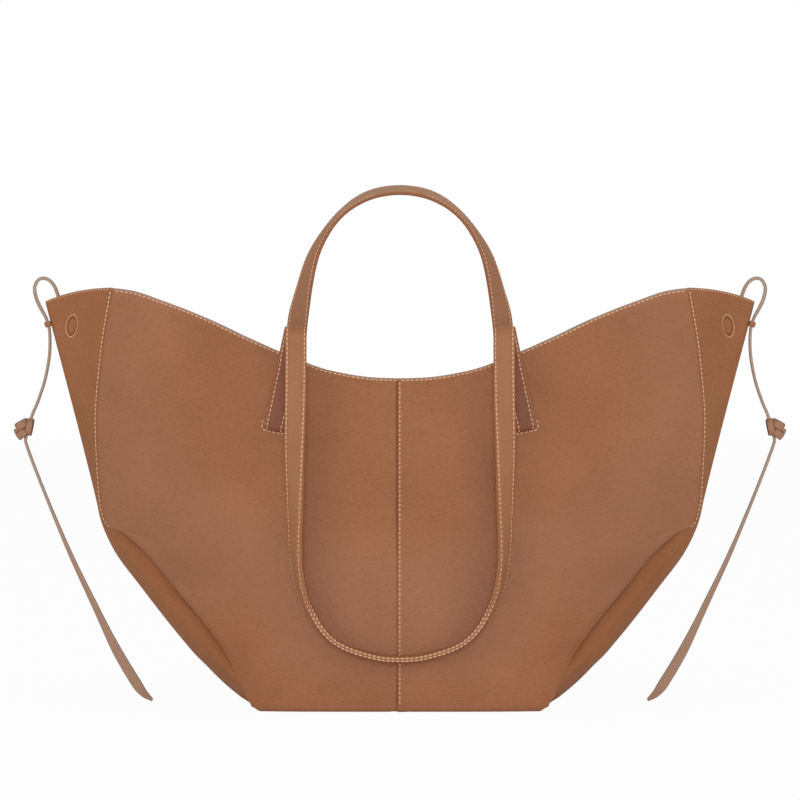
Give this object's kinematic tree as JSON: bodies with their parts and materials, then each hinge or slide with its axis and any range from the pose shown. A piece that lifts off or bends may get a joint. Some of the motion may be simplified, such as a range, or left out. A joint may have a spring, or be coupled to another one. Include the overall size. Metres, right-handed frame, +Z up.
{
  "type": "tote bag",
  "caption": "Winged leather tote bag with folding side gussets, a long front handle that hangs in a U, a short standing back handle and a knotted lace at each side",
  "frame": {"origin": "centre of the base's flat underside, on the floor", "axes": "+Z up, +X to the bag's right as seen from the front, -Y towards the front, the face with the hanging handle"},
  "size_m": [0.5208, 0.1917, 0.3579],
  "materials": {
    "leather": "tan pebbled leather, satin",
    "strap": "tan pebbled leather, painted edges",
    "lace": "brown leather thong",
    "lining": "plain woven lining",
    "board": "dense fibre board",
    "magnet": "plated disc"
  },
  "bodies": {
    "bag": {"front_left_panel": "leather", "front_right_panel": "leather", "back_left_panel": "leather", "back_right_panel": "leather", "left_gusset": "leather", "right_gusset": "leather", "base_panel": "leather", "base_board": "board", "base_lining": "lining", "front_lining": "lining", "back_lining": "lining", "left_side_lining": "lining", "right_side_lining": "lining", "front_rim_facing": "leather", "back_rim_facing": "leather", "front_left_magnet": "magnet", "front_right_magnet": "magnet", "back_left_magnet": "magnet", "back_right_magnet": "magnet", "long_handle_left_root": "strap", "long_handle_right_root": "strap", "long_handle_left_fold": "strap", "long_handle_right_fold": "strap", "short_handle_left_root": "strap", "short_handle_right_root": "strap", "short_handle_left_flex": "strap", "short_handle_right_flex": "strap", "left_lace_upper": "lace", "left_lace_tail": "lace", "left_lace_knot": "lace", "left_lace_keeper": "strap", "right_lace_upper": "lace", "right_lace_tail": "lace", "right_lace_knot": "lace", "right_lace_keeper": "strap"},
    "long_handle": {"long_handle_loop": "strap"},
    "short_handle": {"short_handle_loop": "strap"}
  },
  "joints": [
    {"name": "long_handle_swing", "type": "hinge", "parent": "bag", "child": "long_handle", "pos_m": [0, -0.0743, 0.2505], "axis": [-1, 0, 0], "range_deg": [0, 180], "deforming": ["long_handle_left_fold", "long_handle_right_fold"]},
    {"name": "short_handle_swing", "type": "hinge", "parent": "bag", "child": "short_handle", "pos_m": [0, 0.0745, 0.2525], "axis": [1, 0, 0], "range_deg": [-160, 125], "deforming": ["short_handle_left_flex", "short_handle_right_flex"]}
  ]
}
